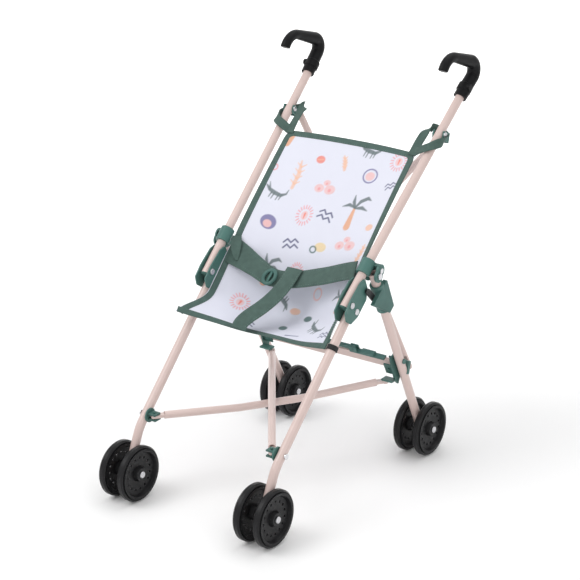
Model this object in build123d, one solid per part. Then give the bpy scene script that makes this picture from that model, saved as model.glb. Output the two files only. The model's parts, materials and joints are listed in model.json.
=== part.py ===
from build123d import *
import cmath
import math
import os

# Folding stroller for dolls: two side frames joined by two pairs of crossed
# braces, a folding rear crossbar, eight twin wheels and a fabric sling seat.
# Millimetres. +Z is up, the front faces -Y, X runs across. The origin is on the
# floor, under the middle of the bounding box.
#
# Each side frame lies in an upright plane. Points in that plane are complex
# numbers, y + z*1j. At the side lock the push tube ends and the front leg hangs
# in a folding channel; side(s, n) is a point s mm up the push tube from the
# lock bolt and n mm off its axis, towards the seat's front.

# ---- driving dimensions ----
PUSH_ANGLE = 42.8        # push tube above horizontal, degrees
FRONT_ANGLE = 46.4       # front leg
REAR_ANGLE = 62.0        # rear leg
PUSH_LENGTH = 328.0      # lock bolt to the handle's lower end
FRONT_LENGTH = 279.4     # leg rivet to the level of the front axle
FRONT_KINK = 20.0        # front axle behind the leg's straight line
TUBE_R = 6.0
TUBE_WALL = 1.0
TUBE_END = -5.2          # the push tube ends just past the lock bolt
BRACE_R = 5.0
WHEEL_R = 37.3
WHEEL_W = 12.4
WHEEL_GAP = 15.25        # leg to the middle of each wheel
LEG_DROP = 15.3          # lock bolt to leg rivet
FOLD_TRAVEL = 160.0      # the right side closes towards the left by this much
FOLD_FRONT = 172.0       # front leg swings forward and up, degrees
GAP = 0.07               # running clearance of pins, on the radius
SIDES = {"left": -1, "right": 1}

# ---- the side plane ----
tube_dir = cmath.rect(1, math.radians(PUSH_ANGLE))
front_dir = -cmath.rect(1, math.radians(FRONT_ANGLE))
rear_dir = cmath.rect(1, -math.radians(REAR_ANGLE))

HOOK_R = 13.0            # the handle's tight bend, centre line
HOOK_START = PUSH_LENGTH + 34.0
HOOK_RISE = 16.0         # the hook's arm above horizontal, degrees
HOOK_ARM = 41.0
TIP_R = 25.0             # the wide bend that turns the tip down
TIP_TURN = 81.0
GRIP_R = 9.0
ARM_R = 6.8

# depth is set by the front wheel and by the hook's back
_front_reach = (-LEG_DROP * 1j * tube_dir + FRONT_LENGTH * front_dir
                + FRONT_KINK * 1j * front_dir)
_hook_centre = (HOOK_START + HOOK_R * 1j) * tube_dir
_front_y = _front_reach.real - WHEEL_R
_back_y = _hook_centre.real + HOOK_R + GRIP_R
lock = complex(-(_front_y + _back_y) / 2, WHEEL_R - _front_reach.imag)


def side(s, n):
    return lock + complex(s, n) * tube_dir


leg_rivet = side(0, -LEG_DROP)
front_axle = lock + _front_reach
rear_pivot = side(53.0, -10.5)
REAR_LENGTH = (rear_pivot.imag - WHEEL_R) / math.sin(math.radians(REAR_ANGLE))


def front(d, n=0.0):
    """A point d mm down the front leg, n mm behind its axis."""
    return leg_rivet + complex(d, n) * front_dir


def rear(d, n=0.0):
    """A point d mm down the rear leg, n mm behind its axis."""
    return rear_pivot + complex(d, n) * rear_dir


rear_axle = rear(REAR_LENGTH)


# how far out each tube's axis is
def push_x(s):
    return 111.1 + 0.0358 * s


def front_x(d):
    return 111.3 - 0.0100 * d


def rear_x(d):
    return 121.7 - 0.0269 * d


# ---- crossed braces: pin positions and fold angles ----
TOP_PIN = 267.7          # up the push tube
BACK_FOOT = 171.0        # down the rear leg
BACK_OFF = 15.5          # the back braces' axis behind the tubes
SEAT_TOP = BACK_OFF - 5.5  # the foot dips towards its seat halfway through the fold
LOW_PIN = 206.0          # down the front leg
LOW_FOOT = (190.0, -15.0)
LOW_X = 94.5
BOW = 6.2                # how far each brace bows to clear the other
top_point = side(TOP_PIN, 0)
back_foot = rear(BACK_FOOT)
low_point = front(LOW_PIN)
low_foot = rear(*LOW_FOOT)
BACK_X = push_x(TOP_PIN) - 2.7


def turned(point, centre, degrees):
    return centre + (point - centre) * cmath.rect(1, math.radians(degrees))


def brace_angles(head, foot, head_after, foot_after, half_width):
    """In-plane directions and sideways leans of a brace, open and folded."""
    width = 2 * half_width
    open_span, shut_span = foot - head, foot_after - head_after
    lean_open = math.degrees(math.atan2(width, abs(open_span)))
    lean_shut = math.degrees(math.atan2(width - FOLD_TRAVEL, abs(shut_span)))
    turn = math.degrees(cmath.phase(shut_span / open_span))
    return turn, lean_open, lean_shut


# the rear leg swings forward until the back braces' length fits again
_back_length = math.hypot(2 * BACK_X, abs(back_foot - top_point))
_shut_span = math.sqrt(_back_length ** 2 - (2 * BACK_X - FOLD_TRAVEL) ** 2)
_upper, _lower = abs(top_point - rear_pivot), BACK_FOOT
_corner = math.degrees(math.acos((_upper ** 2 + _lower ** 2 - _shut_span ** 2)
                                 / (2 * _upper * _lower)))
_corner_open = math.degrees(abs(cmath.phase((back_foot - rear_pivot)
                                            / (top_point - rear_pivot))))
FOLD_REAR = _corner - _corner_open

BACK_TURN, BACK_LEAN, BACK_SHUT = brace_angles(
    top_point, back_foot, top_point,
    turned(back_foot, rear_pivot, -FOLD_REAR), BACK_X)
LOW_TURN, LOW_LEAN, LOW_SHUT = brace_angles(
    low_point, low_foot, turned(low_point, lock, -FOLD_FRONT),
    turned(low_foot, rear_pivot, -FOLD_REAR), LOW_X)
LOW_TURN -= 360.0 if LOW_TURN > 0 else 0.0

# ---- side lock: channel, slider and link ----
LINK_ON_LOCK = (30.0, -13.0)
LINK_ON_SLIDER = (31.0, -14.0)
SLIDER_TRAVEL = 46.4
LINK_X = (122.2, 124.4)
link_end = side(*LINK_ON_LOCK)
link_pin = rear(*LINK_ON_SLIDER)

# ---- rear crossbar ----
BAR_PIN = 172.0          # down the rear leg
BAR_X = 100.7
BAR_H = 13.0
BAR_T = 5.0
BAR_FOLD = math.degrees(math.acos((BAR_X - FOLD_TRAVEL / 2) / BAR_X))
LEVER_X = 42.0
LEVER_LIFT = 14.0


# ---- helpers ----
def at(x, point):
    return Vector(x, point.real, point.imag)


def rod(a, b, radius):
    """Solid round bar from a to b."""
    a, b = Vector(a), Vector(b)
    align = (Align.CENTER, Align.CENTER, Align.MIN)
    return Plane(origin=a, z_dir=(b - a)) * Cylinder(radius, (b - a).length, align=align)


def across(point, x0, x1, radius):
    """Round bar along X through a point of the side plane."""
    return rod(at(x0, point), at(x1, point), radius)


def pipe(points, radius, wall, bend=0.0):
    """Round tube along straight runs joined by arcs."""
    path = FilletPolyline(*points, radius=bend) if bend else Polyline(*points)
    start = Plane(origin=path @ 0, z_dir=path % 0)
    return sweep(start * (Circle(radius) - Circle(radius - wall)), path)


def plate(points, x0, x1, rounding=0.0):
    """Flat plate in the side plane, from x0 to x1."""
    outline = make_face(Polyline(*[(p.real, p.imag) for p in points], close=True))
    if rounding:
        outline = fillet(outline.vertices(), rounding)
    return extrude(Plane.YZ.offset(x0) * outline, amount=x1 - x0)


def bolt(point, x0, x1, radius, head, grip=1.8):
    """Pin along X with a domed head at each end."""
    shank = across(point, x0 - grip, x1 + grip, radius)
    heads = across(point, x0 - grip, x0 - 0.05, head) + across(point, x1 + 0.05, x1 + grip, head)
    edges = heads.edges().filter_by(GeomType.CIRCLE)
    outer = [e for e in edges if e.center().X < x0 - grip + 0.01 or e.center().X > x1 + grip - 0.01]
    return shank + fillet(outer, grip * 0.55)


def stadium(length, width, depth):
    """Flat bar along X from 0 to length with round ends about both, centred in Y."""
    align = (Align.MIN, Align.CENTER, Align.CENTER)
    bar = Box(length, depth, width, align=align)
    ends = [Pos(x, 0, 0) * Rot(90, 0, 0) * Cylinder(width / 2, depth) for x in (0, length)]
    return bar + ends[0] + ends[1]


# ---- side frame, built for the right side ----
def push_tube():
    tube = pipe([at(push_x(TUBE_END), side(TUBE_END, 0)),
                 at(push_x(HOOK_START - 22), side(HOOK_START - 22, 0))], TUBE_R, TUBE_WALL)
    tube -= across(lock, 100, 125, 2.2 + GAP)
    tube -= across(top_point, 110, 135, 1.75)
    return tube


def tube_plug():
    """Plastic plug in the push tube's lower end."""
    foot = at(push_x(TUBE_END), side(TUBE_END, 0))
    end = TUBE_END - 1.8
    lip = rod(at(push_x(end), side(end, 0)), foot, TUBE_R)
    lip = fillet(lip.edges().filter_by(GeomType.CIRCLE).sort_by(Axis.Z)[:1], 1.5)
    stem = rod(foot, at(push_x(-2.6), side(-2.6, 0)), TUBE_R - TUBE_WALL)
    return lip + stem


def bent(x, start, radius, heading, turn, thickness):
    """A round bar bent by turn degrees, and the point and heading where it ends."""
    centre = start + radius * cmath.rect(1, math.radians(heading + 90))
    middle = turned(start, centre, turn / 2)
    end = turned(start, centre, turn)
    arc = ThreePointArc(at(x, start), at(x, middle), at(x, end))
    return sweep(Plane(origin=arc @ 0, z_dir=arc % 0) * Circle(thickness), arc), end, heading + turn


def handle():
    """Moulded walking-stick handle: socket, bend, arm and turned-down tip."""
    bend_x = push_x(HOOK_START) + 1.5
    base = side(PUSH_LENGTH, 0)
    first = side(HOOK_START, 0)
    bend, arm_start, heading = bent(bend_x, first, HOOK_R, PUSH_ANGLE,
                                    180 - HOOK_RISE - PUSH_ANGLE, GRIP_R)
    arm_end = arm_start + HOOK_ARM * cmath.rect(1, math.radians(heading))
    tip, tip_end, heading = bent(bend_x, arm_end, TIP_R, heading, TIP_TURN, ARM_R)
    cut = Vector(*at(bend_x, tip_end))
    rim = min(tip.edges().filter_by(GeomType.CIRCLE), key=lambda e: (e.arc_center - cut).length)
    tip = fillet(rim, 1.6)
    arm = Plane(origin=at(bend_x, (arm_start + arm_end) / 2),
                z_dir=Vector(*at(bend_x, arm_end)) - Vector(*at(bend_x, arm_start)))
    grip = rod(at(push_x(PUSH_LENGTH), base), at(bend_x, first), GRIP_R)
    grip += bend + arm * Cone(GRIP_R, ARM_R, HOOK_ARM) + tip
    socket = rod(at(push_x(PUSH_LENGTH - 1), side(PUSH_LENGTH - 1, 0)),
                 at(push_x(HOOK_START - 22), side(HOOK_START - 22, 0)), TUBE_R + 0.05)
    ridge = rod(at(push_x(PUSH_LENGTH + 9), side(PUSH_LENGTH + 9, 0)),
                at(push_x(PUSH_LENGTH + 20), side(PUSH_LENGTH + 20, 0)), GRIP_R + 1.0)
    grip += fillet(ridge.edges().filter_by(GeomType.CIRCLE), 1.2)
    boss = side(PUSH_LENGTH + 15, 4)
    grip += across(boss, push_x(PUSH_LENGTH), 133.8, 4.2)
    return grip - socket


def pivot_collar():
    """Clamp ring on the push tube with the fork that holds the rear leg."""
    a, b = side(53, -10.5), side(60, -8)
    ring = rod(at(push_x(46), side(46, 0)), at(push_x(66), side(66, 0)), TUBE_R + 3.4)
    lug = across(a, 113.2, 130.4, 8.4) + across(b, 113.2, 130.4, 8.4)
    lug += plate([a + 8.4j * tube_dir, a - 8.4j * tube_dir, b - 8.4j * tube_dir, b + 8.4j * tube_dir],
                 113.2, 130.4)
    slot_x = (rear_x(0) - TUBE_R - 0.4, rear_x(0) + TUBE_R + 0.3)
    slot = plate([side(-10, 20), side(-10, -40), side(60.8, -40), side(60.8, 20)], *slot_x)
    relief = plate([side(-10, -3.2), side(-10, -40), side(60.8, -40), side(60.8, -3.2)], *slot_x)
    bore = rod(at(push_x(30), side(30, 0)), at(push_x(80), side(80, 0)), TUBE_R + 0.05)
    body = (lug - slot) + (ring - relief) - bore
    return body - across(rear_pivot, 100, 140, 2.2) - across(b, 120, 140, 1.5)


def collar_bolts():
    pinch = side(60, -8)
    pivot = across(rear_pivot, 113.3, 131, 2.2) + across(rear_pivot, 130.45, 132.4, 4.2)
    clamp = across(pinch, 128.4, 131, 1.5) + across(pinch, 130.45, 132.2, 3.4)
    return pivot + clamp


LOCK_X = (102.9, 120.7)
LOCK_WALL = 1.7
lock_outline = [side(40, 1), side(35, -13), side(23, -23), side(-3, -23), side(-18, -17),
                side(-21, -6), side(-15, 5), side(2, 7.2), side(30, 6)]


def lock_channel():
    """Open channel: the push tube lies in it and the front leg hangs from it."""
    inner = (LOCK_X[0] + LOCK_WALL, LOCK_X[1] - LOCK_WALL)
    body = plate(lock_outline, LOCK_X[0], inner[0], 3) + plate(lock_outline, inner[1], LOCK_X[1], 3)
    web = plate([side(1, -23), side(22, -23), side(22, -21.5), side(1, -21.5)], inner[0], inner[1])
    body += web
    return body - across(lock, 90, 130, 2.2) - across(leg_rivet, 90, 130, 2.2)


def lock_bolts():
    return bolt(lock, LOCK_X[0], LOCK_X[1], 2.2, 4.2) + bolt(leg_rivet, LOCK_X[0], LOCK_X[1], 2.2, 4.2)


def front_tube():
    points = [at(front_x(-7.5), front(-7.5)), at(front_x(225), front(225)),
              at(front_x(FRONT_LENGTH), front(FRONT_LENGTH, FRONT_KINK))]
    last = points[2] + (points[2] - points[1]).normalized() * 7
    tube = pipe([points[0], points[1], last], TUBE_R, TUBE_WALL, 60)
    tube -= across(leg_rivet, 90, 130, 2.2)
    tube -= across(front_axle, 90, 130, 2.5)
    return tube - across(low_point, 90, 130, 1.75)


def rear_tube():
    end = REAR_LENGTH + 7
    tube = pipe([at(rear_x(-3.6), rear(-3.6)), at(rear_x(end), rear(end))], TUBE_R, TUBE_WALL)
    tube -= across(rear_pivot, 100, 140, 2.2 + GAP)
    return tube - across(rear_axle, 100, 130, 2.5) - across(rear(158), 100, 124, 1.75)


def slider():
    """Sleeve that slides on the rear leg, with a hollow wing towards the lock."""
    x = rear_x(38)
    sleeve = rod(at(rear_x(16), rear(16)), at(rear_x(60), rear(60)), TUBE_R + 3.2)
    outline = [rear(17, 12.5), rear(61, 9.6), rear(63.5, -2), rear(27, -27)]
    wing = plate(outline, LINK_X[1] + 0.4, x + 9.4, 1.5)
    pocket = [rear(21, 9), rear(59, 6), rear(60.2, -2.4), rear(28, -23)]
    wing -= plate(pocket, 100, x + 7.6, 1)
    bore = rod(at(rear_x(0), rear(0)), at(rear_x(80), rear(80)), TUBE_R + 0.25)
    stud = across(link_pin, LINK_X[0], x + 8, 1.5)
    return sleeve + wing + stud - bore


def lock_link():
    """Flat steel link between the slider and the channel."""
    reach = link_end - link_pin
    outline = [link_pin + 4j * reach / abs(reach), link_pin - 4j * reach / abs(reach),
               link_end - 4j * reach / abs(reach), link_end + 4j * reach / abs(reach)]
    body = plate(outline, *LINK_X)
    body += across(link_pin, *LINK_X, 4) + across(link_end, *LINK_X, 4)
    return body - across(link_pin, 100, 130, 1.5 + GAP)


def top_swivel():
    """Saddle behind the push tube that carries a back brace."""
    x = push_x(TOP_PIN)
    back = (back_foot - top_point) / abs(back_foot - top_point) * 1j    # rearward, square to the brace
    down = back / 1j
    ears = [top_point + 6 * down - 3.5 * back, top_point + 11 * down + 12.4 * back,
            top_point - 2.5 * down + 12.4 * back, top_point - 5 * down - 3.5 * back]
    body = plate(ears, x - 8.4, x - 6.6, 1.5) + plate(ears, x + 6.6, x + 8.4, 1.5)
    web = [top_point + 11 * down + 10.2 * back, top_point + 11 * down + 12.4 * back,
           top_point - 2.5 * down + 12.4 * back, top_point - 2.5 * down + 10.2 * back]
    body += plate(web, x - 8.4, x + 8.4)
    stud = rod(at(BACK_X, top_point + 11 * back), at(BACK_X, top_point + 19.4 * back), 1.8)
    stud += rod(at(BACK_X, top_point + (BACK_OFF + 2.2) * back),
                at(BACK_X, top_point + (BACK_OFF + 4.0) * back), 3.6)
    return body + stud - across(top_point, 100, 140, 1.75 + GAP)


def top_rivet():
    x = push_x(TOP_PIN)
    return bolt(top_point, x - 8.5, x + 8.5, 1.75, 3.6, 1.5)


def front_fork():
    """Swivel fork inside the front leg, for a lower brace."""
    leg = front_x(LOW_PIN)
    along = (low_foot - low_point) / abs(low_foot - low_point)
    up = along * 1j
    base = across(low_point, leg - 8.0, leg - 6.3, 9.5)
    body = base
    for way in (1, -1):
        cheek = [low_point + way * 2.6 * up - 5.5 * along, low_point + way * 4.8 * up - 5.5 * along,
                 low_point + way * 4.8 * up + 5.5 * along, low_point + way * 2.6 * up + 5.5 * along]
        body += plate(cheek, LOW_X - 5.5, leg - 6.3)
    pin = rod(at(LOW_X, low_point - 6.4 * up), at(LOW_X, low_point + 6.4 * up), 1.8)
    return body + pin - across(low_point, leg - 9, leg, 1.75 + GAP)


def front_rivet():
    leg = front_x(LOW_PIN)
    return (across(low_point, leg - 9.0, leg + 7.4, 1.75) + across(low_point, leg + 6.3, leg + 7.8, 3.8)
            + across(low_point, leg - 9.3, leg - 8.1, 2.4))


def rear_bracket():
    """Plate on the rear leg's inner face: clevis for the crossbar, tab over the lower brace."""
    inner = rear_x(197) - TUBE_R - 0.1
    outline = [rear(150, -8.2), rear(150, 8.2), rear(182, 8.2), rear(197, -9.5), rear(188, -13)]
    body = plate(outline, inner - 2.6, inner - 0.1, 1.5)
    for n0, n1 in ((-8.2, -6.2), (6.2, 8.2)):
        body += plate([rear(164, n0), rear(181, n0), rear(181, n1), rear(164, n1)], 94.5, inner - 0.1)
    up = (low_foot - low_point) / abs(low_foot - low_point) * 1j
    tab = low_foot + 3.2 * up
    along = up / 1j
    body += plate([tab - 8 * along, tab + 4 * along, tab + 4 * along + 2.4 * up, tab - 8 * along + 2.4 * up],
                  93, inner - 0.1)
    pin = rod(at(BAR_X, rear(BAR_PIN, -9.4)), at(BAR_X, rear(BAR_PIN, 9.4)), 2.0)
    screw = across(rear(158), inner - 2.8, rear_x(158) + TUBE_R + 1.6, 1.75)
    screw += across(rear(158), rear_x(158) + TUBE_R + 0.2, rear_x(158) + TUBE_R + 1.6, 3.6)
    return body + pin + screw + back_seat()


def back_seat():
    """Block behind the rear leg, part of the bracket, where the back brace's foot sits."""
    x = rear_x(BACK_FOOT)
    back = (back_foot - top_point) / abs(back_foot - top_point) * 1j
    down = back / 1j
    body = plate([back_foot - 9 * down + 5.0 * back, back_foot + 9 * down + 5.0 * back,
                  back_foot + 9 * down + SEAT_TOP * back, back_foot - 9 * down + SEAT_TOP * back], x - 7.4, x + 7, 1.2)
    return body - rod(at(rear_x(140), rear(140)), at(rear_x(200), rear(200)), TUBE_R + 0.05)


def wheel(x):
    """One-piece moulded wheel: rounded tread, dished disc with a ring of holes, hub."""
    half, rim = WHEEL_W / 2, WHEEL_R
    with_tread = Polyline(
        (33.4, -half + 1.6), (rim - 2.0, -half + 1.0), (rim, -half + 3.6), (rim, half - 3.6),
        (rim - 2.0, half - 1.0), (33.4, half - 1.6), (33.4, half), (30.2, half), (28.2, 1.6), (10.6, 1.0),
        (8.6, half), (2.5 + GAP, half), (2.5 + GAP, -half), (8.6, -half), (10.6, -1.0), (28.2, -1.6),
        (30.2, -half), (33.4, -half), close=True)
    body = revolve(make_face(with_tread), axis=Axis.Y)
    for i in range(15):
        body -= Rot(0, 24 * i, 0) * Pos(21.6, 0, 0) * Rot(90, 0, 0) * Cylinder(1.9, 8)
    return Pos(x, 0, 0) * Rot(0, 0, -90) * body


def axle(x):
    """Steel axle with a plain middle and a domed cap at each end."""
    reach = WHEEL_GAP + WHEEL_W / 2 + 0.4
    bar = rod((x - reach - 1.9, 0, 0), (x + reach + 1.9, 0, 0), 2.5)
    for way in (1, -1):
        cap = rod((x + way * reach, 0, 0), (x + way * (reach + 2.2), 0, 0), 4.6)
        rim = [e for e in cap.edges().filter_by(GeomType.CIRCLE)
               if abs(e.center().X - x) > reach + 2]
        bar += fillet(rim, 1.6)
        bar += rod((x + way * (TUBE_R + 0.3), 0, 0), (x + way * (WHEEL_GAP - WHEEL_W / 2 - 0.3), 0, 0), 4.2)
    return bar


# ---- braces ----
def brace(head, length, lean, down, pin_dir, bow, foot_cap):
    """Tube with flattened ends from a left-hand pin towards the right.

    The brace lies in the plane square to pin_dir; bow pushes its middle along pin_dir.
    """
    lean = math.radians(lean)
    flat = Vector(0, down.real, down.imag)
    run = flat * math.cos(lean) + Vector(1, 0, 0) * math.sin(lean)
    off = Vector(0, pin_dir.real, pin_dir.imag)
    frame = Plane(origin=head, x_dir=run, z_dir=off)
    ends = [frame.from_local_coords(Vector(v, 0, 0)) for v in (13, length - 13)]
    knees = [frame.from_local_coords(Vector(v, 0, bow)) for v in (length * 0.36, length * 0.64)]
    body = pipe([ends[0], knees[0], knees[1], ends[1]], BRACE_R, TUBE_WALL, 120)
    paddle = Box(22, 9, 3.6, align=(Align.CENTER, Align.CENTER, Align.CENTER))
    for v in (11, length - 11):
        tip = 0 if v < length / 2 else length
        body += frame * (Pos(v, 0, 0) * paddle) + frame * (Pos(tip, 0, 0) * Cylinder(4.5, 3.6))
    body -= frame * Cylinder(1.8 + GAP, 12)
    if foot_cap:
        body += frame * (Pos(length, 0, foot_cap * 2.5) * Cylinder(3.4, 1.6))
    return body


def mirror_x(body):
    return mirror(body, about=Plane.YZ)


def braces():
    """Two crossed pairs, each with one brace bowed each way."""
    down = (back_foot - top_point) / abs(back_foot - top_point)
    head = at(-BACK_X, top_point + BACK_OFF * down * 1j)
    span = math.hypot(2 * BACK_X, abs(back_foot - top_point))
    yield "back_brace_left", brace(head, span, BACK_LEAN, down, down * 1j, BOW, 1)
    yield "back_brace_right", mirror_x(brace(head, span, BACK_LEAN, down, down * 1j, -BOW, 1))
    along = (low_foot - low_point) / abs(low_foot - low_point)
    head = at(-LOW_X, low_point)
    span = math.hypot(2 * LOW_X, abs(low_foot - low_point))
    yield "lower_brace_left", brace(head, span, LOW_LEAN, along, along * 1j, -BOW, -1)
    yield "lower_brace_right", mirror_x(brace(head, span, LOW_LEAN, along, along * 1j, BOW, -1))


# ---- rear crossbar ----
bar_plane = Plane(origin=at(0, rear(BAR_PIN)), x_dir=(1, 0, 0),
                  z_dir=Vector(0, -rear_dir.real, -rear_dir.imag))
BAR_Y = BAR_T / 2 + 0.3


def crossbar_half(way):
    """Flat bar from the leg's clevis to just past the middle; way is +1 for the right one."""
    depth = way * BAR_Y
    bar = Pos(0, depth, 0) * stadium(BAR_X, BAR_H, BAR_T)
    bar -= Pos(BAR_X, 0, 0) * Rot(90, 0, 0) * Cylinder(2.0 + GAP, 20)
    bar += Pos(0, depth + way * (BAR_T / 2 + 0.8), 0) * Rot(90, 0, 0) * Cylinder(4.0, 1.6)
    if way < 0:
        return mirror_x(bar_plane * bar)
    return bar_plane * bar


def crossbar_cover():
    """Green saddle along the right half's upper edge, with the lever's ears."""
    top = BAR_H / 2
    align = (Align.MIN, Align.CENTER, Align.MIN)
    body = Pos(LEVER_X - 6, BAR_Y, top + 0.05) * Box(BAR_X - LEVER_X - 4, BAR_T + 3, 1.9, align=align)
    body += Pos(LEVER_X + 12, BAR_Y, top + 0.05) * Box(BAR_X - LEVER_X - 38, BAR_T + 3, 4.5, align=align)
    for way in (1, -1):
        ear = Box(12, 1.5, 9, align=align)
        body += Pos(LEVER_X - 6, BAR_Y + way * (BAR_T / 2 + 0.75), top + 0.05) * ear
    return bar_plane * body


def lock_lever():
    """Foot lever over the middle of the crossbar."""
    top = BAR_H / 2
    pin = Pos(LEVER_X, BAR_Y, top + 5.8) * Rot(90, 0, 0)
    align = (Align.MAX, Align.CENTER, Align.CENTER)
    arm = Pos(LEVER_X, BAR_Y, top + 5.8) * Box(72, BAR_T - 0.6, 5.2, align=align)
    arm += Pos(LEVER_X - 72, BAR_Y, top + 7.2) * Box(16, BAR_T - 0.6, 8, align=(Align.CENTER,) * 3)
    arm += pin * Cylinder(2.9, BAR_T - 0.6)
    arm += pin * Cylinder(1.6, BAR_T + 4.4)
    return bar_plane * arm


def lever_bore(cover):
    top = BAR_H / 2
    return cover - bar_plane * (Pos(LEVER_X, BAR_Y, top + 5.8) * Rot(90, 0, 0) * Cylinder(1.6 + GAP, 30))


# ---- soft parts: plain closed solids ----
SEAT_X = 98.0
sling_line = [(222, 1), (150, -12), (80, -24), (36, -40), (6, -56), (-14, -60), (-40, -40), (-62, -22)]


def sling():
    """Sheet that hangs between the side frames: back rest, seat and front edge."""
    front_face = [side(s, n) for s, n in sling_line]
    back_face = [side(s - 1.0, n - 2.2) for s, n in reversed(sling_line)]
    return plate(front_face + back_face, -SEAT_X + 4, SEAT_X - 4)


def binding(way):
    """Bound side edge, straight from the top corner to the front corner."""
    x0, x1 = way * (SEAT_X - 3.4), way * (SEAT_X + 2.6)
    x0, x1 = min(x0, x1), max(x0, x1)
    return plate([side(222, 3), side(222, -2), side(-62, -22.5), side(-62, -17.5)], x0, x1)


def waist_belt():
    """Band across the seat, from binding to binding."""
    frame = Plane(origin=at(0, side(22, 0)), x_dir=(1, 0, 0),
                  z_dir=Vector(0, tube_dir.real, tube_dir.imag))
    front_face = [(-93, 6), (-40, 29), (40, 29), (93, 6)]
    back_face = [(x, depth + 2.4) for x, depth in reversed(front_face)]
    return extrude(frame * make_face(Polyline(*front_face, *back_face, close=True)), amount=28)


def crotch_strap():
    line = [(20, -30), (0, -32), (-30, -24), (-60, -16)]
    return plate([side(s, n + 1.2) for s, n in line] + [side(s, n - 1.2) for s, n in reversed(line)],
                 -12, 12)


def belt_buckle():
    """Oval ring that joins the belt and the crotch strap."""
    frame = Plane(origin=at(0, side(24, -28)), x_dir=(1, 0, 0),
                  z_dir=Vector(0, (1j * tube_dir).real, (1j * tube_dir).imag))
    ring = extrude(Ellipse(15, 10) - Ellipse(11.5, 6.5), amount=2.4)
    return frame * ring


def top_loop():
    """Webbing loop that hangs the sling's corner from the push tube."""
    band = rod(at(push_x(228), side(228, 0)), at(push_x(248), side(248, 0)), TUBE_R + 1.9)
    return band - rod(at(push_x(220), side(220, 0)), at(push_x(256), side(256, 0)), TUBE_R + 0.4)


def leg_strap():
    """Strap that ties the sling's front corner to the front leg."""
    band = rod(at(front_x(48), front(48)), at(front_x(62), front(62)), TUBE_R + 1.9)
    return band - rod(at(front_x(40), front(40)), at(front_x(70), front(70)), TUBE_R + 0.4)


# ---- assembly ----
parts = {}
one_side = {
    "push_tube": push_tube, "tube_plug": tube_plug, "handle": handle, "pivot_collar": pivot_collar,
    "collar_bolts": collar_bolts, "lock_channel": lock_channel, "lock_bolts": lock_bolts,
    "front_leg": front_tube, "rear_leg": rear_tube, "slider": slider, "lock_link": lock_link,
    "top_swivel": top_swivel, "top_rivet": top_rivet, "front_fork": front_fork,
    "front_rivet": front_rivet, "rear_bracket": rear_bracket,
    "top_loop": top_loop, "leg_strap": leg_strap,
}
for name, build in one_side.items():
    body = build()
    parts[name + "_right"] = body
    parts[name + "_left"] = mirror_x(body)

for end, centre, x in (("front", front_axle, front_x(FRONT_LENGTH)), ("rear", rear_axle, rear_x(REAR_LENGTH))):
    for hand, way in SIDES.items():
        place = Pos(0, centre.real, centre.imag)
        parts[f"{end}_axle_{hand}"] = place * axle(way * x)
        parts[f"{end}_wheel_{hand}_outer"] = place * wheel(way * (x + WHEEL_GAP))
        parts[f"{end}_wheel_{hand}_inner"] = place * wheel(way * (x - WHEEL_GAP))

parts.update(braces())
parts["crossbar_right"] = crossbar_half(1)
parts["crossbar_left"] = crossbar_half(-1)
parts["crossbar_cover"] = lever_bore(crossbar_cover())
parts["lock_lever"] = lock_lever()
parts["sling"] = sling() + binding(1) + binding(-1)
parts["waist_belt"] = waist_belt()
parts["crotch_strap"] = crotch_strap()
parts["belt_buckle"] = belt_buckle()

os.makedirs("parts", exist_ok=True)
for name, body in parts.items():
    export_step(body, f"parts/{name}.step")
for label, value in (("rear leg folds", FOLD_REAR), ("back braces turn", BACK_TURN),
                     ("back braces shut to", BACK_SHUT), ("lower braces turn", LOW_TURN),
                     ("lower braces shut to", LOW_SHUT), ("crossbar folds", BAR_FOLD),
                     ("lever lifts", LEVER_LIFT), ("slider travels, mm", SLIDER_TRAVEL),
                     ("braces' feet seat at, mm", SEAT_TOP)):
    print(label, round(value, 2))
print(len(parts), "parts")
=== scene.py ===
import json
import math

import bpy
import numpy as np
from mathutils import Matrix, Vector


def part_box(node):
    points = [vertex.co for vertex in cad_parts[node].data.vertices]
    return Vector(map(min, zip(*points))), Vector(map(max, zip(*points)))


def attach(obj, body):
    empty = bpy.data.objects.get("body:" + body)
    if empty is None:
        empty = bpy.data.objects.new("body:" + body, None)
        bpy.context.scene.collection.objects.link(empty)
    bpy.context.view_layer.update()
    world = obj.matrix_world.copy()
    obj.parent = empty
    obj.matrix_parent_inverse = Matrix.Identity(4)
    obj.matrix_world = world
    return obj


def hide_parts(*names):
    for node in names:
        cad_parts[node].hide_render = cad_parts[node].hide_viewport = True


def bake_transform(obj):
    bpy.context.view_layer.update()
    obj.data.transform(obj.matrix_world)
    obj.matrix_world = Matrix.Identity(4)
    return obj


# Looks of a folding doll stroller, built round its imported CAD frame. Blender's own
# unit is the metre; seat lengths below are in millimetres and go through MM.
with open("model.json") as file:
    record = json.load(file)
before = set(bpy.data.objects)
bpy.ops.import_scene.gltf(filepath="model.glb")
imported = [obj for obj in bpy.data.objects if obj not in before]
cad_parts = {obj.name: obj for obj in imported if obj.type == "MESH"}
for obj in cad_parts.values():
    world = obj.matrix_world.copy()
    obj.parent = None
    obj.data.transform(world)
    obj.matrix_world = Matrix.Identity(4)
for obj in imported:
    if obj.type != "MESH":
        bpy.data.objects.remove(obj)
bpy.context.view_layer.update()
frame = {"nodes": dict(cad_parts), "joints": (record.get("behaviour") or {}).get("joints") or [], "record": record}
MM = 0.001
LEFT, RIGHT = "left_frame", "right_frame"

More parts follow.
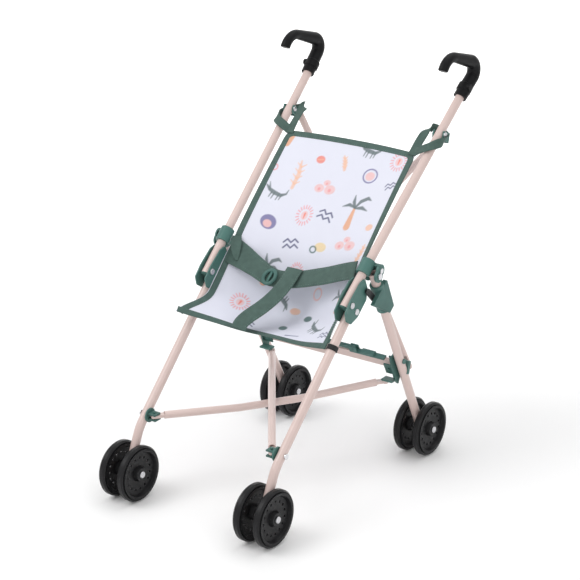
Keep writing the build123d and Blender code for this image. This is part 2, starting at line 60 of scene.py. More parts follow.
# ---- where things are: everything hangs on two pins of the right side frame ----
PIN = {j["name"]: Vector(j["pos_m"]) for j in frame["joints"] if "pos_m" in j}
LOCK = PIN["front_leg_fold_right"]
TOP = PIN["top_swivel_turn_right"]
TUBE_UP = Vector((0, TOP.y - LOCK.y, TOP.z - LOCK.z)).normalized()
TUBE_OUT = Vector((0, -TUBE_UP.z, TUBE_UP.y))      # square to the tubes, towards the doll
ORIGIN = np.array((0, LOCK.y, LOCK.z))
TOP_S = (TOP - LOCK).dot(TUBE_UP) / MM
PUSH_SPLAY = 0.0358                                # the push tubes spread upwards
TUBE_R = 6.0


def seat(x, s, n):
    """Points x across, s up along the push tubes from the lock, n off their plane; mm to m."""
    x, s, n = np.broadcast_arrays(np.asarray(x, float), s, n)
    across = np.stack([x, np.zeros_like(x), np.zeros_like(x)], -1)
    return ORIGIN + MM * (across + s[..., None] * np.array(TUBE_UP) + n[..., None] * np.array(TUBE_OUT))


def push_x(s):
    return TOP.x / MM - PUSH_SPLAY * (TOP_S - s)


def smooth_line(points, count):
    """Catmull-Rom curve through points, resampled to even steps."""
    p = np.array(points, float)
    p = np.vstack([2 * p[0] - p[1], p, 2 * p[-1] - p[-2]])
    dense = []
    for a, b, c, d in zip(p[:-3], p[1:-2], p[2:-1], p[3:]):
        t = np.linspace(0, 1, 24, endpoint=False)[:, None]
        dense.append(0.5 * (2 * b + (c - a) * t + (2 * a - 5 * b + 4 * c - d) * t ** 2
                            + (3 * b - a - 3 * c + d) * t ** 3))
    dense = np.vstack(dense + [p[-2:-1]])
    run = np.concatenate([[0], np.cumsum(np.linalg.norm(np.diff(dense, axis=0), axis=1))])
    want = np.linspace(0, run[-1], count)
    return np.stack([np.interp(want, run, dense[:, i]) for i in range(p.shape[1])], 1)


def unit(v):
    return v / np.maximum(np.linalg.norm(v, axis=-1, keepdims=True), 1e-12)


def ease(t):
    t = np.clip(t, 0, 1)
    return t * t * (3 - 2 * t)


# ---- materials ----
MOTTLE, SMEAR, DENTS = 55.0, 160.0, 120.0          # noise scales: colour, gloss, slow unevenness
WORN = (0.53, 0.62)                                # pointiness range that counts as an edge


def nodes_of(name):
    material = bpy.data.materials.new(name)
    material.use_nodes = True
    tree = material.node_tree
    return material, tree, tree.nodes["Principled BSDF"]


def noise(tree, coords, scale, detail=3.0):
    node = tree.nodes.new("ShaderNodeTexNoise")
    node.inputs["Scale"].default_value = scale
    node.inputs["Detail"].default_value = detail
    tree.links.new(coords.outputs["Object"], node.inputs["Vector"])
    return node.outputs["Fac"]


def ramp(tree, value, low, high, at=(0.3, 0.7)):
    node = tree.nodes.new("ShaderNodeValToRGB")
    for element, colour, place in zip(node.color_ramp.elements, (low, high), at):
        element.color = (*colour, 1)
        element.position = place
    tree.links.new(value, node.inputs["Fac"])
    return node.outputs["Color"]


def bump(tree, heights):
    """Chains (height, distance in metres, strength) bumps and returns the last normal."""
    last = None
    for value, distance, strength in heights:
        node = tree.nodes.new("ShaderNodeBump")
        node.inputs["Distance"].default_value = distance
        node.inputs["Strength"].default_value = strength
        tree.links.new(value, node.inputs["Height"])
        if last is not None:
            tree.links.new(last, node.inputs["Normal"])
        last = node.outputs["Normal"]
    return last


def shade(colour, factor):
    return tuple(min(1.0, c * factor) for c in colour)


def hard_material(name, colour, rough, grain=1800.0, grain_depth=0.00006, metallic=0.0, coat=0.0,
                  spread=0.10, edge=1.25, shine=0.5):
    """Moulded or painted surface: mottled colour, uneven gloss, fine grain, paler worn edges."""
    material, tree, shader = nodes_of(name)
    coords = tree.nodes.new("ShaderNodeTexCoord")
    mottle = ramp(tree, noise(tree, coords, MOTTLE), shade(colour, 1 - spread), shade(colour, 1 + spread))
    worn = tree.nodes.new("ShaderNodeMix")
    worn.data_type = "RGBA"
    worn.inputs["B"].default_value = (*shade(colour, edge), 1)
    geometry = tree.nodes.new("ShaderNodeNewGeometry")
    edges = tree.nodes.new("ShaderNodeMapRange")
    edges.inputs["From Min"].default_value, edges.inputs["From Max"].default_value = WORN
    tree.links.new(geometry.outputs["Pointiness"], edges.inputs["Value"])
    tree.links.new(edges.outputs["Result"], worn.inputs["Factor"])
    tree.links.new(mottle, worn.inputs["A"])
    tree.links.new(worn.outputs["Result"], shader.inputs["Base Color"])
    gloss = tree.nodes.new("ShaderNodeMapRange")
    gloss.inputs["To Min"].default_value = max(0.02, rough - 0.07)
    gloss.inputs["To Max"].default_value = min(1.0, rough + 0.09)
    tree.links.new(noise(tree, coords, SMEAR, 5.0), gloss.inputs["Value"])
    tree.links.new(gloss.outputs["Result"], shader.inputs["Roughness"])
    tree.links.new(bump(tree, [(noise(tree, coords, grain, 2.0), grain_depth, 0.5),
                               (noise(tree, coords, DENTS, 2.0), 0.0001, 0.25)]),
                   shader.inputs["Normal"])
    shader.inputs["Metallic"].default_value = metallic
    shader.inputs["Specular IOR Level"].default_value = shine
    shader.inputs["Coat Weight"].default_value = coat
    shader.inputs["Coat Roughness"].default_value = 0.12
    return material


def weave(tree, coords, pitch):
    """Height of crossed yarns, pitch in metres."""
    heights = []
    for direction in ("X", "Z"):
        wave = tree.nodes.new("ShaderNodeTexWave")
        wave.bands_direction = direction
        wave.inputs["Scale"].default_value = 0.314 / pitch
        wave.inputs["Distortion"].default_value = 0.35
        tree.links.new(coords.outputs["Object"], wave.inputs["Vector"])
        heights.append(wave.outputs["Fac"])
    both = tree.nodes.new("ShaderNodeMath")
    both.operation = "MULTIPLY"
    tree.links.new(heights[0], both.inputs[0])
    tree.links.new(heights[1], both.inputs[1])
    return both.outputs["Value"]


def cloth_material(name, colour, pitch, rough=0.85, spread=0.12, attribute=None, sheen=0.12):
    """Woven surface; with an attribute the colour comes from the print painted on the mesh."""
    material, tree, shader = nodes_of(name)
    coords = tree.nodes.new("ShaderNodeTexCoord")
    yarns = weave(tree, coords, pitch)
    tone = tree.nodes.new("ShaderNodeMix")
    tone.data_type = "RGBA"
    tone.blend_type = "MULTIPLY"
    tone.inputs["Factor"].default_value = 1.0
    if attribute:
        paint = tree.nodes.new("ShaderNodeVertexColor")
        paint.layer_name = attribute
        tree.links.new(paint.outputs["Color"], tone.inputs["A"])
    else:
        tree.links.new(ramp(tree, noise(tree, coords, 130.0, 4.0), shade(colour, 1 - spread),
                            shade(colour, 1 + spread)), tone.inputs["A"])
    yarn_tone = ramp(tree, yarns, (1 - spread / 2,) * 3, (1.0,) * 3, (0.0, 0.5))
    tree.links.new(yarn_tone, tone.inputs["B"])
    tree.links.new(tone.outputs["Result"], shader.inputs["Base Color"])
    shader.inputs["Roughness"].default_value = rough
    shader.inputs["Sheen Weight"].default_value = sheen
    shader.inputs["Sheen Roughness"].default_value = 0.4
    tree.links.new(bump(tree, [(yarns, pitch * 0.25, 0.6), (noise(tree, coords, 45.0), 0.0008, 0.3)]),
                   shader.inputs["Normal"])
    return material


GREEN = (0.055, 0.132, 0.116)
WEB_GREEN = (0.066, 0.117, 0.100)
finish = {
    "tube": hard_material("pale_pink_paint", (0.64, 0.50, 0.465), 0.36, coat=0.35, spread=0.03, edge=1.05),
    "handle": hard_material("black_grip", (0.006, 0.006, 0.007), 0.42, 900.0, 0.00012, edge=1.5, shine=0.16),
    "wheel": hard_material("black_moulding", (0.010, 0.010, 0.011), 0.36, 1300.0, edge=1.5, shine=0.22),
    "steel": hard_material("plated_steel", (0.62, 0.62, 0.64), 0.26, 2600.0, 0.00003, metallic=1.0),
    "dark_steel": hard_material("black_steel", (0.035, 0.035, 0.037), 0.38, 2200.0, metallic=0.6),
    "green_plastic": hard_material("green_moulding", GREEN, 0.42, 1500.0, coat=0.05, edge=1.3, shine=0.3),
    "webbing": cloth_material("green_webbing", WEB_GREEN, 0.0011),
    "binding": cloth_material("green_binding", (0.068, 0.122, 0.106), 0.0007, 0.8),
    "fabric": cloth_material("printed_polyester", (0.85, 0.87, 0.95), 0.00045, 0.72, 0.06, "print", 0.1),
    "strap_black": cloth_material("black_elastic", (0.014, 0.015, 0.016), 0.0010, 0.8),
    "thread": cloth_material("green_thread", (0.110, 0.190, 0.168), 0.0004, 0.7),
}
slots = {entry["node"]: entry["material_slot"] for entry in frame["record"]["subparts"]}
for node, obj in frame["nodes"].items():
    obj.data.materials.clear()
    obj.data.materials.append(finish[slots[node]])


# ---- mesh helpers ----
def add_mesh(name, vertices, faces, material, smooth=True):
    mesh = bpy.data.meshes.new(name)
    mesh.from_pydata([tuple(v) for v in vertices], [], [tuple(f) for f in faces])
    mesh.validate()
    if smooth:
        mesh.polygons.foreach_set("use_smooth", [True] * len(mesh.polygons))
    mesh.materials.append(material)
    obj = bpy.data.objects.new(name, mesh)
    bpy.context.scene.collection.objects.link(obj)
    return obj


def grid_faces(rows, columns, offset=0, flip=False):
    base = offset + np.arange(rows - 1)[:, None] * columns + np.arange(columns - 1)
    quads = np.stack([base, base + 1, base + columns + 1, base + columns], -1).reshape(-1, 4)
    return quads[:, ::-1] if flip else quads


def band(name, centres, normals, width, thick, material, closed=False, crown=0.0):
    """Flat strap with rounded edges along centres (m); normals is its face's direction."""
    centres = np.asarray(centres)
    count = len(centres)
    if closed:
        tangents = unit(np.roll(centres, -1, 0) - np.roll(centres, 1, 0))
    else:
        tangents = unit(np.gradient(centres, axis=0))
    normals = unit(normals - (normals * tangents).sum(1, keepdims=True) * tangents)
    sideways = np.cross(tangents, normals)
    half = np.broadcast_to(np.asarray(width, float) * MM / 2, count)
    r = thick * MM / 2
    turn = np.linspace(-math.pi / 2, math.pi / 2, 5)
    flat = np.linspace(1, -1, 9)[1:-1]
    a = np.concatenate([np.cos(turn) * r, np.zeros(7), -np.cos(turn) * r, np.zeros(7)])
    reach = np.concatenate([np.ones(5), flat, -np.ones(5), -flat])
    b = np.concatenate([np.sin(turn) * r, np.full(7, r), -np.sin(turn) * r, np.full(7, -r)])
    b = b + crown * MM * (1 - reach ** 2)
    section = len(a)
    rings = (centres[:, None] + sideways[:, None] * (reach[None, :, None] * (half[:, None, None] - r)
                                                     + a[None, :, None])
             + normals[:, None] * b[None, :, None])
    vertices = rings.reshape(-1, 3)
    faces = []
    for i in range(count if closed else count - 1):
        j = (i + 1) % count
        for k in range(section):
            m = (k + 1) % section
            faces.append((i * section + k, i * section + m, j * section + m, j * section + k))
    if not closed:
        faces.append(tuple(range(section))[::-1])
        faces.append(tuple((count - 1) * section + k for k in range(section)))
    return add_mesh(name, vertices, faces, material)


def stitches(name, points, normals, material, length=2.3, pitch=3.6, radius=0.28, lift=0.0):
    """Row of raised thread dashes along a path (m)."""
    run = np.concatenate([[0], np.cumsum(np.linalg.norm(np.diff(points, axis=0), axis=1))])
    starts = np.arange(pitch, run[-1] / MM - length, pitch) * MM

    def on_path(data, where):
        return np.stack([np.interp(where, run, data[:, i]) for i in range(3)], 1)

    vertices, faces = [], []
    steps = ((0.0, 0.15), (0.25, 0.9), (0.75, 0.9), (1.0, 0.15))
    for start in starts:
        where = np.array([start + share * length * MM for share, _ in steps])
        p = on_path(points, where)
        n = unit(on_path(normals, where))
        t = unit(np.gradient(p, axis=0))
        b = np.cross(t, n)
        base = len(vertices)
        for i, (_, fat) in enumerate(steps):
            for k in range(6):
                angle = k * math.pi / 3
                vertices.append(p[i] + MM * (n[i] * (lift + radius * fat * math.sin(angle))
                                             + b[i] * radius * fat * 1.3 * math.cos(angle)))
        for i in range(3):
            for k in range(6):
                m = (k + 1) % 6
                faces.append((base + 6 * i + k, base + 6 * i + m, base + 6 * i + 6 + m, base + 6 * i + 6 + k))
        faces.append(tuple(base + k for k in range(6))[::-1])
        faces.append(tuple(base + 18 + k for k in range(6)))
    return add_mesh(name, vertices, faces, material)


def across_fold(obj):
    """The piece spans both side frames; its placement is baked into its mesh."""
    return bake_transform(obj)


# ---- the sling sheet: shape ----
EDGE_X = 103.0           # the sheet's side edges, just inside the push tubes
TOP_EDGE_S = 231.0
FRONT_EDGE_S = -59.0
SAG_POWER = 2.3
TAPE = 8.6               # binding width
WING = (-9.0, -15.0, 32.0)       # the left front corner flares over the leg: x, s, n
mid_line = smooth_line([(235, 1), (190, -6), (150, -12), (110, -18), (74, -26), (40, -40), (12, -54),
                        (-12, -58), (-36, -46), (-58, -29)], 240)
SHEET_LENGTH = np.linalg.norm(np.diff(mid_line, axis=0), axis=1).sum()
SHARE = np.linspace(0, 1, len(mid_line))


def hump(distance, spread):
    """A soft bump, 1 where distance is 0."""
    return np.exp(-(distance / spread) ** 2)


def sheet_local(u, v):
    """Side-frame coordinates of the sheet: u from -1 to 1 across, v from 0 at the top to 1."""
    edge_s = TOP_EDGE_S + (FRONT_EDGE_S - TOP_EDGE_S) * v
    edge_n = 1.0 - 17.0 * v ** 1.8
    wing = ease((v - 0.86) / 0.14) ** 1.5 * ease(-u)
    mid_s = np.interp(v, SHARE, mid_line[:, 0])
    mid_n = np.interp(v, SHARE, mid_line[:, 1])
    sag = 1 - np.abs(u) ** SAG_POWER
    x = EDGE_X * u + WING[0] * wing * np.abs(u) ** 3
    s = edge_s + (mid_s - edge_s) * sag + WING[1] * wing * np.abs(u) ** 2
    n = edge_n + (mid_n - edge_n) * sag + WING[2] * wing * np.abs(u) ** 2.2
    drop = v * SHEET_LENGTH
    # shallow upright folds in the back rest
    n = n + 0.9 * np.sin(x / 11.5 + 0.012 * drop) * ease(drop / 40) * hump(drop - 110, 75) * sag
    # creases towards both sides, under the waist belt
    n = n + 1.3 * hump(drop - 196 - 6 * u, 13) * np.sin(x / 7.0) * np.abs(u) ** 1.5
    # slanting pulls across the seat
    n = n - 1.6 * hump(drop - 232 + 0.35 * x, 9) * ease(0.5 - 1.4 * u) * sag
    n = n + 1.1 * hump(drop - 250 - 0.3 * x, 11) * ease(0.4 + 1.5 * u) * sag
    # the front hem's ripple
    n = n + 1.5 * hump((1 - v) * SHEET_LENGTH, 22) * np.sin(x / 15.0 + 0.8) * (1 - u ** 4)
    return x, s, n


def sheet_at(u, v):
    u, v = np.broadcast_arrays(np.asarray(u, float), np.asarray(v, float))
    return seat(*sheet_local(u, v))


def sheet_normal(u, v, step=0.004):
    across = sheet_at(u + step, v) - sheet_at(u - step, v)
    down = sheet_at(u, np.minimum(v + step, 1)) - sheet_at(u, np.maximum(v - step, 0))
    return unit(np.cross(down, across))


# ---- the print: generic leaves, palms, lizards, waves, bursts and dots ----
INK = {
    "ground": (0.755, 0.765, 0.865), "leaf": (0.150, 0.190, 0.200), "trunk": (0.780, 0.400, 0.240),
    "navy": (0.055, 0.060, 0.165), "coral": (0.850, 0.230, 0.170), "pink": (0.830, 0.300, 0.320),
    "blush": (0.850, 0.520, 0.510), "peach": (0.860, 0.520, 0.370), "violet": (0.150, 0.135, 0.330),
    "yellow": (0.840, 0.610, 0.230), "green": (0.085, 0.165, 0.155),
}


BOLD = 1.45              # stroke widths
BIG = 1.4                # figure sizes


class Print:
    """Paints soft-edged shapes on points of the flat sheet, x across and y up, in mm."""

    def __init__(self, x, y):
        self.x, self.y = x, y
        self.colour = np.tile(np.array(INK["ground"]), (len(x), 1))

    def fill(self, distance, ink, strength=0.92):
        cover = strength * np.clip(0.5 - distance / 1.1, 0, 1)[:, None]
        self.colour = self.colour * (1 - cover) + np.array(INK[ink]) * cover

    def disc(self, cx, cy, rx, ry, ink, strength=0.92):
        away = np.hypot((self.x - cx) / rx, (self.y - cy) / ry)
        self.fill((away - 1) * min(rx, ry), ink, strength)

    def ring(self, cx, cy, rx, ry, width, ink):
        away = np.hypot((self.x - cx) / rx, (self.y - cy) / ry)
        self.fill(np.abs(away - 1) * min(rx, ry) - width / 2, ink)

    def stroke(self, points, widths, ink, strength=0.92):
        best = np.full(len(self.x), 1e9)
        shares = np.linspace(0, 1, len(points))
        for i, ((x0, y0), (x1, y1)) in enumerate(zip(points[:-1], points[1:])):
            dx, dy = x1 - x0, y1 - y0
            t = np.clip(((self.x - x0) * dx + (self.y - y0) * dy) / (dx * dx + dy * dy), 0, 1)
            fat = np.interp(shares[i] + t * (shares[i + 1] - shares[i]),
                            np.linspace(0, 1, len(widths)), widths) * BOLD / 2
            best = np.minimum(best, np.hypot(self.x - x0 - t * dx, self.y - y0 - t * dy) - fat)
        self.fill(best, ink, strength)


def placed(points, cx, cy, angle=0.0, size=1.0):
    c, s = (BIG * size * f(math.radians(angle)) for f in (math.cos, math.sin))
    return [(cx + c * x - s * y, cy + s * x + c * y) for x, y in points]


def palm(art, cx, cy, angle=0.0, size=1.0):
    art.stroke(placed([(0, -20), (0.5, 0)], cx, cy, angle, size), [7.5 * size, 3 * size], "trunk")
    leaves = (([(0, 2), (-3, 8), (-4, 15)], [3, 3.6, 0.8]), ([(0, 2), (-7, 4), (-14, 1)], [2, 3.6, 0.8]),
              ([(1, 2), (5, 9), (12, 13), (17, 11)], [2, 4, 4, 0.8]),
              ([(1, 1), (9, 2), (17, -1)], [2, 4, 0.8]))
    for line, widths in leaves:
        art.stroke(placed(line, cx, cy, angle, size), [w * size for w in widths], "leaf")


def lizard(art, cx, cy, angle=0.0, size=1.0):
    art.stroke(placed([(-13, 5), (-8, 1), (-2, -1), (5, -2), (10, 1), (11, 6)], cx, cy, angle, size),
               [1.2, 3.6, 4.4, 3.6, 1.8, 0.6], "leaf")
    art.stroke(placed([(-8, 1), (-11, 9)], cx, cy, angle, size), [2, 0.7], "leaf")
    for x, foot in ((-5, -7), (-2, -8), (3, -8), (6, -7)):
        art.stroke(placed([(x, -1), (x - 1.2, foot)], cx, cy, angle, size), [1.6, 0.9], "leaf")


def waves(art, cx, cy, angle=0.0, size=1.0):
    for shift in (-2.7, 2.7):
        line = [(4 * i - 8, shift + (1.7 if i % 2 else -1.7)) for i in range(5)]
        art.stroke(placed(line, cx, cy, angle, size), [1.5 * size, 1.5 * size], "navy")


def burst(art, cx, cy, size=1.0):
    for i in range(18):
        a = math.tau * i / 18
        line = [(6.2 * math.cos(a), 7.2 * math.sin(a)), (9.0 * math.cos(a), 10.6 * math.sin(a))]
        art.stroke(placed(line, cx, cy, 0, size), [1.1, 0.9], "pink")
    art.disc(cx, cy, 5.4 * size, 6.6 * size, "blush", 0.7)
    art.stroke(placed([(0, -3), (0, 2)], cx, cy, 0, size), [1.0, 2.0], "coral")


def fern(art, cx, cy, angle=0.0, size=1.0):
    art.stroke(placed([(0, -17), (1, 0), (-2, 16)], cx, cy, angle, size), [3.2, 4.4, 1.6], "peach", 0.75)
    for i in range(4):
        y = -12 + 7 * i
        for way in (-1, 1):
            art.stroke(placed([(0.5, y), (way * 5.5, y + 4)], cx, cy, angle, size), [2.0, 0.9], "peach", 0.75)


def moon(art, cx, cy):
    art.disc(cx, cy, 11.5, 10.5, "violet", 0.85)
    art.disc(cx - 0.5, cy - 2.8, 6.2, 5.6, "blush", 0.95)


def hills(art, cx, cy):
    for x, y, r in ((-9, -4, 7.5), (8, -4, 8.5), (0, 5, 5.5)):
        art.disc(cx + x, cy + y, r, r * 0.8, "blush", 0.8)
        art.disc(cx + x, cy + y - 1, r * 0.3, r * 0.3, "pink", 0.7)


def paint_print(x, y):
    """Back rest from y = 0 at the top hem down, then the seat; about 300 mm in all."""
    art = Print(x, y)
    fern(art, -58, -64, 0, 0.9)
    art.stroke([(-94, -22), (-90, -6)], [6, 4], "trunk")
    art.disc(-34, -36, 6.6, 5.6, "coral", 0.85)
    art.stroke([(-38, -37), (-30, -35)], [0.8, 0.8], "peach")
    fern(art, 4, -34, 20, 0.45)
    lizard(art, 36, -10)
    burst(art, 84, -18)
    art.ring(50, -46, 10.5, 10.0, 1.9, "violet")
    art.disc(50, -46.5, 7.2, 6.4, "blush", 0.85)
    waves(art, 88, -56, 25, 0.7)
    hills(art, -10, -72)
    palm(art, 46, -96, 0, 0.95)
    lizard(art, -76, -98)
    art.ring(-95, -62, 3.8, 4.6, 1.5, "pink")
    burst(art, -24, -118)
    waves(art, 8, -112, -12)
    moon(art, -70, -142)
    waves(art, -28, -160, 12)
    art.disc(18, -156, 8.6, 6.4, "yellow", 0.7)
    art.ring(8, -161, 4.4, 4.2, 2.0, "green")
    hills(art, 56, -146)
    art.disc(84, -122, 5.6, 5.0, "peach", 0.85)
    fern(art, 88, -162, -15, 0.6)
    waves(art, -84, -204, 30, 0.9)
    palm(art, -52, -200, 0, 0.8)
    burst(art, -8, -194, 0.8)
    art.stroke([(50, -186), (60, -182), (70, -188)], [3, 3.6, 2], "coral", 0.8)
    palm(art, 78, -226, 10, 0.7)
    art.ring(34, -218, 6.4, 8.0, 1.8, "blush")
    burst(art, -68, -262, 0.9)
    art.disc(6, -246, 8.4, 4.8, "peach", 0.85)
    art.disc(32, -254, 6.4, 4.8, "green")
    art.disc(8, -280, 6.0, 5.4, "green")
    lizard(art, 60, -272, -25)
    waves(art, 86, -288, 0, 0.7)
    art.stroke([(24, -296), (42, -292)], [1.6, 1.0], "navy")
    waves(art, -40, -292, 8, 0.8)
    lizard(art, -20, -236, 160, 0.8)
    return art.colour


# ---- the sling sheet: mesh ----
COLUMNS, ROWS = 216, 320
u_grid, v_grid = np.meshgrid(np.linspace(-1, 1, COLUMNS), np.linspace(0, 1, ROWS))
CLOTH = 0.45             # thickness
upper = sheet_at(u_grid, v_grid) + sheet_normal(u_grid, v_grid) * CLOTH * MM / 2
lower = upper - sheet_normal(u_grid, v_grid) * CLOTH * MM
count = COLUMNS * ROWS
rim = np.concatenate([np.arange(COLUMNS), np.arange(1, ROWS) * COLUMNS + COLUMNS - 1,
                      (ROWS - 1) * COLUMNS + np.arange(COLUMNS - 2, -1, -1),
                      np.arange(ROWS - 2, 0, -1) * COLUMNS])
rim_faces = np.stack([rim, np.roll(rim, -1), np.roll(rim, -1) + count, rim + count], 1)
sling = add_mesh("sling_sheet", np.vstack([upper.reshape(-1, 3), lower.reshape(-1, 3)]),
                 np.vstack([grid_faces(ROWS, COLUMNS, 0, True), grid_faces(ROWS, COLUMNS, count), rim_faces]),
                 finish["fabric"])
colours = paint_print((u_grid * EDGE_X).ravel(), -(v_grid * SHEET_LENGTH).ravel())
show_through = np.array(INK["ground"]) * 0.93 + colours * 0.05
rgba = np.ones((2 * count, 4), np.float32)
rgba[:count, :3] = colours
rgba[count:, :3] = show_through
layer = sling.data.color_attributes.new("print", "FLOAT_COLOR", "POINT")
layer.data.foreach_set("color", rgba.ravel())
across_fold(sling)
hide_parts("sling")

# ---- binding tape round the sheet, with its stitching ----
BIND_T = 1.9
inset = (TAPE / 2 - 0.6) / EDGE_X
drop_inset = (TAPE / 2 - 0.6) / SHEET_LENGTH


def tape(name, u, v):
    centres = sheet_at(u, v)
    normals = sheet_normal(u, v)
    piece = band(name, centres, normals, TAPE, BIND_T, finish["binding"], crown=0.15)
    across_fold(piece)
    return centres, normals


def tape_stitches(name, u, v):
    points = sheet_at(u, v)
    normals = sheet_normal(u, v)
    row = stitches(name, points, normals, finish["thread"], lift=BIND_T / 2)
    across_fold(row)


CORNER = 9.0             # the tape turns the top corners on this radius
turns = np.linspace(0, math.pi / 2, 9)
corner_u = 1 - inset - (1 - np.cos(turns)) * CORNER / EDGE_X
corner_v = drop_inset + (1 - np.sin(turns)) * CORNER / SHEET_LENGTH
side_v = np.linspace(1.0, corner_v[0], 110)[:-1]
top_u = np.linspace(-corner_u[-1], corner_u[-1], 70)[1:-1]
side_u = np.full(len(side_v), 1 - inset)
loop_u = np.concatenate([-side_u, -corner_u, top_u, corner_u[::-1], side_u])
loop_v = np.concatenate([side_v, corner_v, np.full(len(top_u), drop_inset), corner_v[::-1], side_v[::-1]])
tape("side_and_top_binding", loop_u, loop_v)
ROW_INSET = 2.9          # tape's middle line to its row of stitches
tape_stitches("binding_stitches", np.sign(loop_u) * (np.abs(loop_u) - ROW_INSET / EDGE_X),
              loop_v + np.where(loop_v < corner_v[0], ROW_INSET / SHEET_LENGTH, 0.0))
hem_u = np.linspace(-1.0, 1.0, 90)
tape("front_hem", hem_u, np.full(90, 1 - drop_inset))
tape_stitches("hem_stitches", hem_u * 0.97, np.full(90, 1 - drop_inset - ROW_INSET / SHEET_LENGTH))


# ---- webbing loops from the top corners round the push tubes ----
LOOP_W = 12.3
LOOP_PATH = [  # x from the tube's axis (outwards), s from the top corner, n, then the face's x and n
    (-18.5, 1.0, 2.4, 0.0, 1.0), (-8.0, 5.0, 7.4, 0.0, 1.0), (3.0, 10.0, 9.6, 0.25, 1.0),
    (9.4, 19.0, 5.0, 0.9, 0.6), (9.8, 29.0, -3.0, 0.9, -0.5), (4.0, 40.0, -9.0, 0.2, -1.0),
    (-6.0, 46.0, -9.2, -0.3, -1.0), (-14.5, 48.0, -6.0, -0.7, -0.5), (-19.5, 42.0, -1.0, -0.5, 0.7),
    (-20.5, 32.0, 1.5, 0.1, 1.0), (-20.5, 17.0, 2.8, 0.15, 1.0), (-20.5, 4.0, 3.2, 0.0, 1.0),
    (-21.0, -4.0, 3.0, 0.0, 1.0)]


def corner_loop(side, way):
    path = smooth_line(LOOP_PATH, 120)
    s = TOP_EDGE_S + path[:, 1]
    x = way * (push_x(s) + path[:, 0])
    centres = seat(x, s, path[:, 2])
    normals = way * path[:, 3:4] * np.array((1.0, 0, 0)) + path[:, 4:5] * np.array(TUBE_OUT)
    piece = band(f"corner_loop_{side}", centres, normals, LOOP_W, 1.3, finish["webbing"])
    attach(piece, LEFT if side == "left" else RIGHT)
    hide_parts(f"top_loop_{side}")


for side, way in (("left", -1), ("right", 1)):
    corner_loop(side, way)


# ---- waist belt, crotch strap and ring ----
def strap(name, points, width, thick=1.5, face=(0.0, 0.0, 1.0), crown=0.0, count=90):
    """Strap through (x, s, n) points; face is its normal in the same axes."""
    path = smooth_line(points, count)
    centres = seat(path[:, 0], path[:, 1], path[:, 2])
    normal = np.array((face[0], 0, 0)) + face[1] * np.array(TUBE_UP) + face[2] * np.array(TUBE_OUT)
    normals = np.tile(normal, (count, 1))
    if path.shape[1] > 3:
        width = path[:, 3]
    piece = band(name, centres, normals, width, thick, finish["webbing"], crown=crown)
    across_fold(piece)
    return piece, centres, normals


belt, belt_line, belt_normals = strap(
    "waist_webbing",
    [(-99, 42, -10, 38), (-80, 37, -13, 34), (-52, 28, -15, 28), (-24, 20, -17, 26), (6, 25, -20, 26),
     (50, 37, -14, 27), (80, 46, -7, 27), (99, 51, -3, 27)], 27, crown=0.6)
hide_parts("waist_belt")
crotch, crotch_line, crotch_normals = strap(
    "crotch_webbing",
    [(4, 39, -15.5), (4, 30, -14.5), (3, 16, -14), (-3, -4, -15), (-13, -24, -15), (-25, -44, -13),
     (-31, -55, -14), (-32.5, -62, -17)], 24.5, crown=0.5)
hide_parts("crotch_strap")
strap("belt_flap", [(-99, 62, -6, 12), (-94, 50, -5, 15), (-88, 37, -8, 10), (-84, 29, -11, 3)], 12, 1.2,
      face=(0.35, 0.1, 1.0), count=30)


def edge_stitches(name, line, normals, offset, lift=0.75):
    tangents = unit(np.gradient(line, axis=0))
    n = unit(normals - (normals * tangents).sum(1, keepdims=True) * tangents)
    points = line + np.cross(tangents, n) * offset * MM
    row = stitches(name, points[3:-3], n[3:-3], finish["thread"], lift=lift + 0.1)
    across_fold(row)


for way in (-1, 1):
    tag = "a" if way < 0 else "b"
    edge_stitches(f"waist_stitches_{tag}", belt_line, belt_normals, way * 10.5)
    edge_stitches(f"crotch_stitches_{tag}", crotch_line, crotch_normals, way * 10.2)


RING_AT = (-25.0, 18.0, -13.0)
RING_X, RING_S = 8.6, 10.2       # half the oval's width and height, to the bar's middle
RING_WIDE, RING_DEEP = 2.7, 2.0  # the bar's own half width and depth


def ring_piece():
    """Oval ring with a cross bar, on the belt beside the crotch strap."""
    centre = RING_AT
    vertices, faces = [], []
    round_steps, tube_steps = 48, 12
    for i in range(round_steps):
        a = math.tau * i / round_steps
        for k in range(tube_steps):
            b = math.tau * k / tube_steps
            x = (RING_X + RING_WIDE * math.cos(b)) * math.cos(a)
            s = (RING_S + RING_WIDE * math.cos(b)) * math.sin(a)
            vertices.append(seat(centre[0] + x, centre[1] + s, centre[2] + RING_DEEP * math.sin(b)))
            j, m = (i + 1) % round_steps, (k + 1) % tube_steps
            faces.append((i * tube_steps + k, j * tube_steps + k, j * tube_steps + m, i * tube_steps + m))
    base = len(vertices)
    for x in (-1.0, 2.2):
        for s in (-9.0, 9.0):
            for n in (-1.1, 1.1):
                vertices.append(seat(centre[0] + x, centre[1] + s, centre[2] + n))
    faces += [tuple(base + i for i in quad) for quad in
              ((0, 1, 3, 2), (4, 6, 7, 5), (0, 4, 5, 1), (2, 3, 7, 6), (0, 2, 6, 4), (1, 5, 7, 3))]
    ring = add_mesh("belt_ring", vertices, faces, finish["green_plastic"])
    across_fold(ring)
    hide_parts("belt_buckle")


ring_piece()


# ---- straps round the front legs ----
LEG_BAND_W = 7


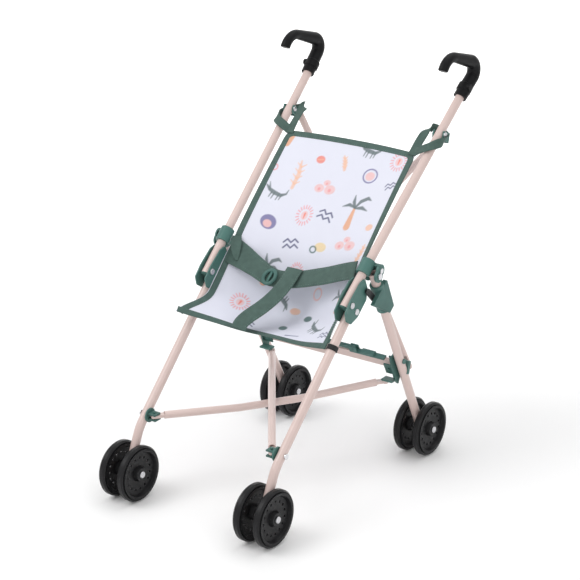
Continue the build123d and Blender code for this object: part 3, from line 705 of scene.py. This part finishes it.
def leg_band(side):
    low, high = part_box(f"leg_strap_{side}")
    centre = np.array((low + high) / 2)
    pivot = PIN[f"front_leg_fold_{side}"]
    leg = unit(np.array(PIN[f"front_fork_turn_{side}"] - pivot))
    first = unit(np.cross(leg, (1.0, 0, 0)))
    second = np.cross(leg, first)
    turn = np.linspace(0, math.tau, 49)[:-1]
    radial = np.cos(turn)[:, None] * first + np.sin(turn)[:, None] * second
    centres = centre + radial * (TUBE_R + 0.9) * MM
    piece = band(f"leg_band_{side}", centres, radial, LEG_BAND_W, 1.0, finish["strap_black"], closed=True)
    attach(piece, f"front_leg_{side}")
    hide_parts(f"leg_strap_{side}")


for side in ("left", "right"):
    leg_band(side)


# ---- floor, light and camera ----
FLOOR_NEAR, FLOOR_FAR, FLOOR_SIDE = -6.0, 3.2, 9.0
CURVE_R, WALL_TOP = 1.6, 7.0


def sweep_floor():
    """Pale floor that curves up far behind the object."""
    profile = [(FLOOR_NEAR, 0.0), (FLOOR_FAR, 0.0)]
    for i in range(1, 13):
        a = math.radians(90 * i / 12)
        profile.append((FLOOR_FAR + CURVE_R * math.sin(a), CURVE_R * (1 - math.cos(a))))
    profile.append((FLOOR_FAR + CURVE_R, WALL_TOP))
    vertices = [(x, y, z) for y, z in profile for x in (-FLOOR_SIDE, FLOOR_SIDE)]
    faces = [(2 * i, 2 * i + 1, 2 * i + 3, 2 * i + 2) for i in range(len(profile) - 1)]
    material, tree, shader = nodes_of("pale_floor")
    coords = tree.nodes.new("ShaderNodeTexCoord")
    tree.links.new(ramp(tree, noise(tree, coords, 2.0), (0.93, 0.93, 0.93), (0.95, 0.95, 0.95)),
                   shader.inputs["Base Color"])
    shader.inputs["Roughness"].default_value = 0.75
    floor = add_mesh("floor", vertices, faces, material)
    floor.rotation_euler.z = VIEW_TURN


def area_light(name, place, target, size, power):
    data = bpy.data.lights.new(name, "AREA")
    data.size = size
    data.energy = power
    lamp = bpy.data.objects.new(name, data)
    bpy.context.scene.collection.objects.link(lamp)
    lamp.location = place
    lamp.rotation_euler = (Vector(target) - Vector(place)).to_track_quat("-Z", "Y").to_euler()


VIEW_TURN = math.radians(36.02)          # round from the front, towards the right
VIEW_RISE = math.radians(19.03)
VIEW_ROLL = math.radians(0.39)
VIEW_FROM = Vector((1.3115, -1.8069, 1.0203))
LENS = 112.16
sweep_floor()
world = bpy.data.worlds.new("soft_white")
world.use_nodes = True
world.node_tree.nodes["Background"].inputs["Color"].default_value = (1.0, 1.0, 1.0, 1)
world.node_tree.nodes["Background"].inputs["Strength"].default_value = 0.70
bpy.context.scene.world = world
area_light("key", (-1.2, -1.6, 2.4), (0, 0, 0.25), 1.6, 29)
area_light("fill", (2.2, -1.2, 1.5), (0, 0, 0.25), 2.0, 10)
area_light("top", (0.2, 0.9, 2.6), (0, 0, 0.2), 1.8, 14)
area_light("backdrop", (-1.0, 1.4, 2.6), (-2.6, 3.6, 1.0), 2.0, 90)

bpy.context.scene.view_settings.view_transform = "Standard"

camera_data = bpy.data.cameras.new("camera")
camera_data.lens = LENS
camera_data.sensor_width = 36.0
camera = bpy.data.objects.new("camera", camera_data)
bpy.context.scene.collection.objects.link(camera)
back = Vector((math.sin(VIEW_TURN) * math.cos(VIEW_RISE), -math.cos(VIEW_TURN) * math.cos(VIEW_RISE),
               math.sin(VIEW_RISE)))
level = Vector((math.cos(VIEW_TURN), math.sin(VIEW_TURN), 0))
above = back.cross(level)
right = level * math.cos(VIEW_ROLL) + above * math.sin(VIEW_ROLL)
up = above * math.cos(VIEW_ROLL) - level * math.sin(VIEW_ROLL)
camera.matrix_world = Matrix.Translation(VIEW_FROM) @ Matrix((right, up, back)).transposed().to_4x4()
bpy.context.scene.camera = camera
